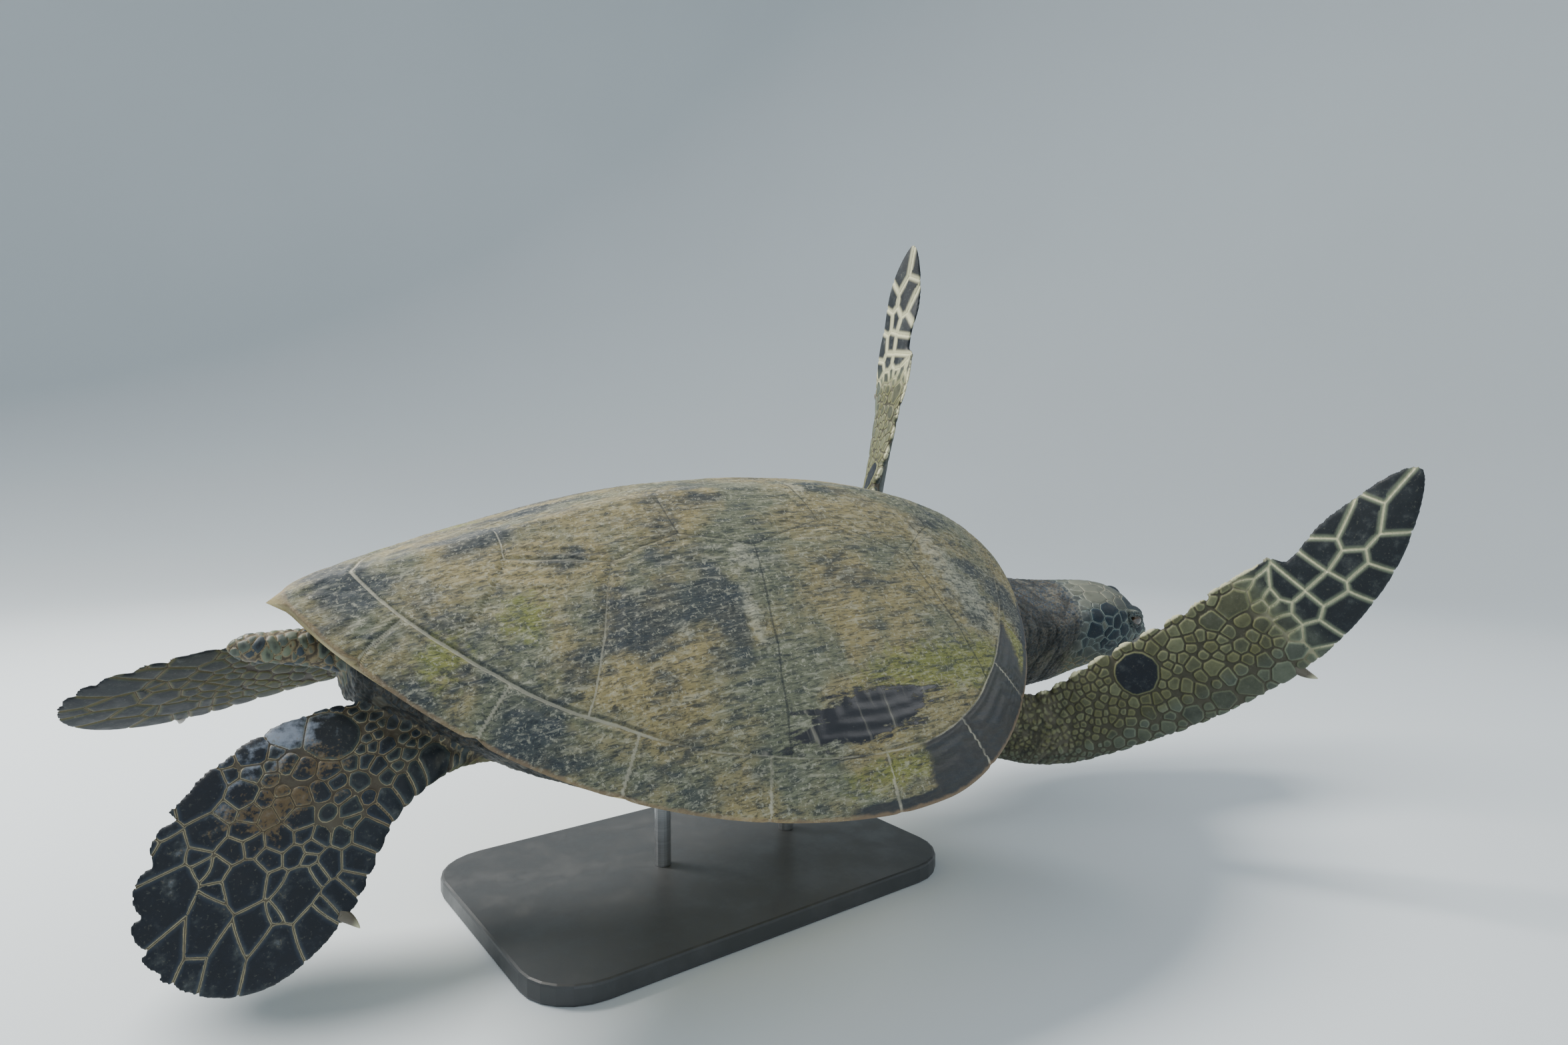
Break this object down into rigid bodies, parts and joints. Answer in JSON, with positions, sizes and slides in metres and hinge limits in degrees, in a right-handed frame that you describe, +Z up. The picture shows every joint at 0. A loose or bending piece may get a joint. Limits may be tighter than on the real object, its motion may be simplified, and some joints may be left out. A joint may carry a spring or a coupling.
{
  "type": "sea turtle display model",
  "caption": "Life-size green sea turtle swimming in a banked turn, front flippers raised, head turned to its right, on a flat base with upright rods.",
  "frame": {"origin": "centre of the flat underside of the display base", "axes": "+Z up; the turtle's nose points to -Y, its left side to +X and its right side to -X, and its body is banked 21 degrees to its right"},
  "size_m": [0.8076, 1.2636, 0.7974],
  "materials": {
    "carapace": "dull horn with algae",
    "plastron": "satin horn",
    "skin": "scaled skin",
    "beak": "worn horn",
    "claw": "polished horn",
    "eye": "wet gloss",
    "stand_base": "painted satin black",
    "stand_metal": "satin black"
  },
  "bodies": {
    "root": {"beak_lower": "beak", "beak_upper": "beak", "carapace": "carapace", "eye_left": "eye", "eye_right": "eye", "front_claw_left": "claw", "front_claw_right": "claw", "front_flipper_left": "skin", "front_flipper_right": "skin", "head": "skin", "hind_claw_left": "claw", "hind_claw_right": "claw", "hind_flipper_left": "skin", "hind_flipper_right": "skin", "jaw": "skin", "neck": "skin", "plastron": "plastron", "stand_base": "stand_base", "stand_pad_front": "stand_metal", "stand_pad_rear": "stand_metal", "stand_rod_front": "stand_metal", "stand_rod_rear": "stand_metal", "tail": "skin", "trunk": "skin"}
  },
  "joints": []
}
